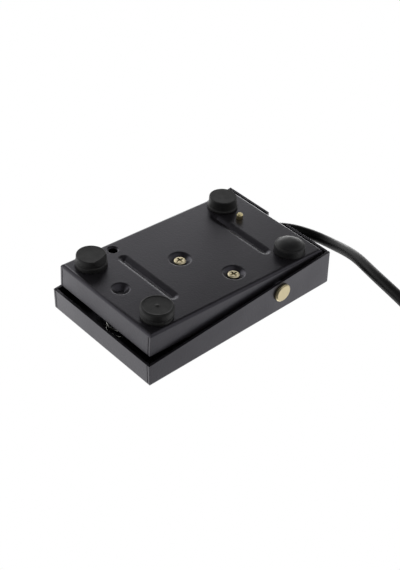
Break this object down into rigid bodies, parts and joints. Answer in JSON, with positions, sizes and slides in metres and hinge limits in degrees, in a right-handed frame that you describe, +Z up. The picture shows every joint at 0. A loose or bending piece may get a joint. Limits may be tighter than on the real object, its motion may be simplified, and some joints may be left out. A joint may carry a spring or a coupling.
{
  "type": "foot switch",
  "caption": "Low black pressed-steel foot switch: a sprung pedal tray hinged on a pin over a base tray on rubber feet, with a snap-action switch inside and a round black cord.",
  "frame": {"origin": "on the floor under the feet, midway along and across the base tray, which is the middle of the object's own box to within 0.6 mm", "axes": "+Z up, away from the floor; +Y along the object from the free front end, where the foot presses, to the hinged end where the cord leaves; +X to the right as seen by the foot's owner, parallel to the hinge pin"},
  "size_m": [0.1761, 0.1638, 0.0306],
  "materials": {
    "tray_paint": "satin black powder coat on pressed steel",
    "foot_rubber": "matt black moulded rubber",
    "foot_rubber_glossy": "semi-gloss black moulded rubber",
    "yellow_zinc": "yellow-passivated zinc plate",
    "clear_zinc": "clear-passivated zinc plate",
    "spring_steel": "bright drawn spring wire",
    "switch_plastic": "black moulded case",
    "switch_cover_plastic": "black moulded cover",
    "plunger_plastic": "red moulded plunger",
    "lever_steel": "stainless strip",
    "terminal_metal": "plain brass",
    "screw_brass": "plain brass",
    "clip_nylon": "natural nylon",
    "grommet_rubber": "black rubber",
    "core_brown": "brown insulation",
    "core_blue": "blue insulation",
    "core_black": "black insulation",
    "cord_sheath": "smooth black vinyl",
    "tie_nylon": "black nylon"
  },
  "bodies": {
    "base": {"base_tray": "tray_paint", "hinge_pin": "yellow_zinc", "retaining_clip": "spring_steel", "hinge_washers": "clear_zinc", "foot_front_left": "foot_rubber", "foot_front_right": "foot_rubber", "foot_rear_left": "foot_rubber_glossy", "foot_rear_right": "foot_rubber", "return_spring": "spring_steel", "switch_case": "switch_plastic", "switch_cover": "switch_cover_plastic", "lever_pin": "lever_steel", "terminal_common": "terminal_metal", "terminal_open": "terminal_metal", "terminal_closed": "terminal_metal", "switch_screws": "yellow_zinc", "switch_washers": "clear_zinc", "switch_nuts": "yellow_zinc", "cord_clip": "clip_nylon", "clip_screw": "screw_brass", "cord_grommet": "grommet_rubber", "wire_common": "core_brown", "wire_open": "core_blue", "wire_closed": "core_black", "cord_lead": "cord_sheath", "cord_coil": "cord_sheath", "cord_tie": "tie_nylon", "cord_end": "cord_sheath"},
    "pedal": {"pedal_tray": "tray_paint", "striker": "clear_zinc", "stop_post": "clear_zinc"},
    "lever": {"switch_lever": "lever_steel"},
    "plunger": {"switch_plunger": "plunger_plastic"}
  },
  "joints": [
    {"name": "pedal_hinge", "type": "hinge", "parent": "base", "child": "pedal", "pos_m": [0, 0.0226, 0.0156], "axis": [1, 0, 0], "range_deg": [0, 7], "stiffness_Nm_per_rad": 3.8, "springref_deg": -7.45, "deforming": ["return_spring"]},
    {"name": "lever_hinge", "type": "hinge", "parent": "base", "child": "lever", "pos_m": [-0.01848, -0.00844, 0.01375], "axis": [0, 0, 1], "range_deg": [0, 7.5]},
    {"name": "plunger_slide", "type": "slide", "parent": "base", "child": "plunger", "axis": [0.0767, 0.9971, 0], "range_m": [0, 0.0011]}
  ],
  "couplings": [
    {"joint": "lever_hinge", "follows": "pedal_hinge", "ratio": 1.03},
    {"joint": "plunger_slide", "follows": "pedal_hinge", "m_per_rad": 0.0083}
  ]
}
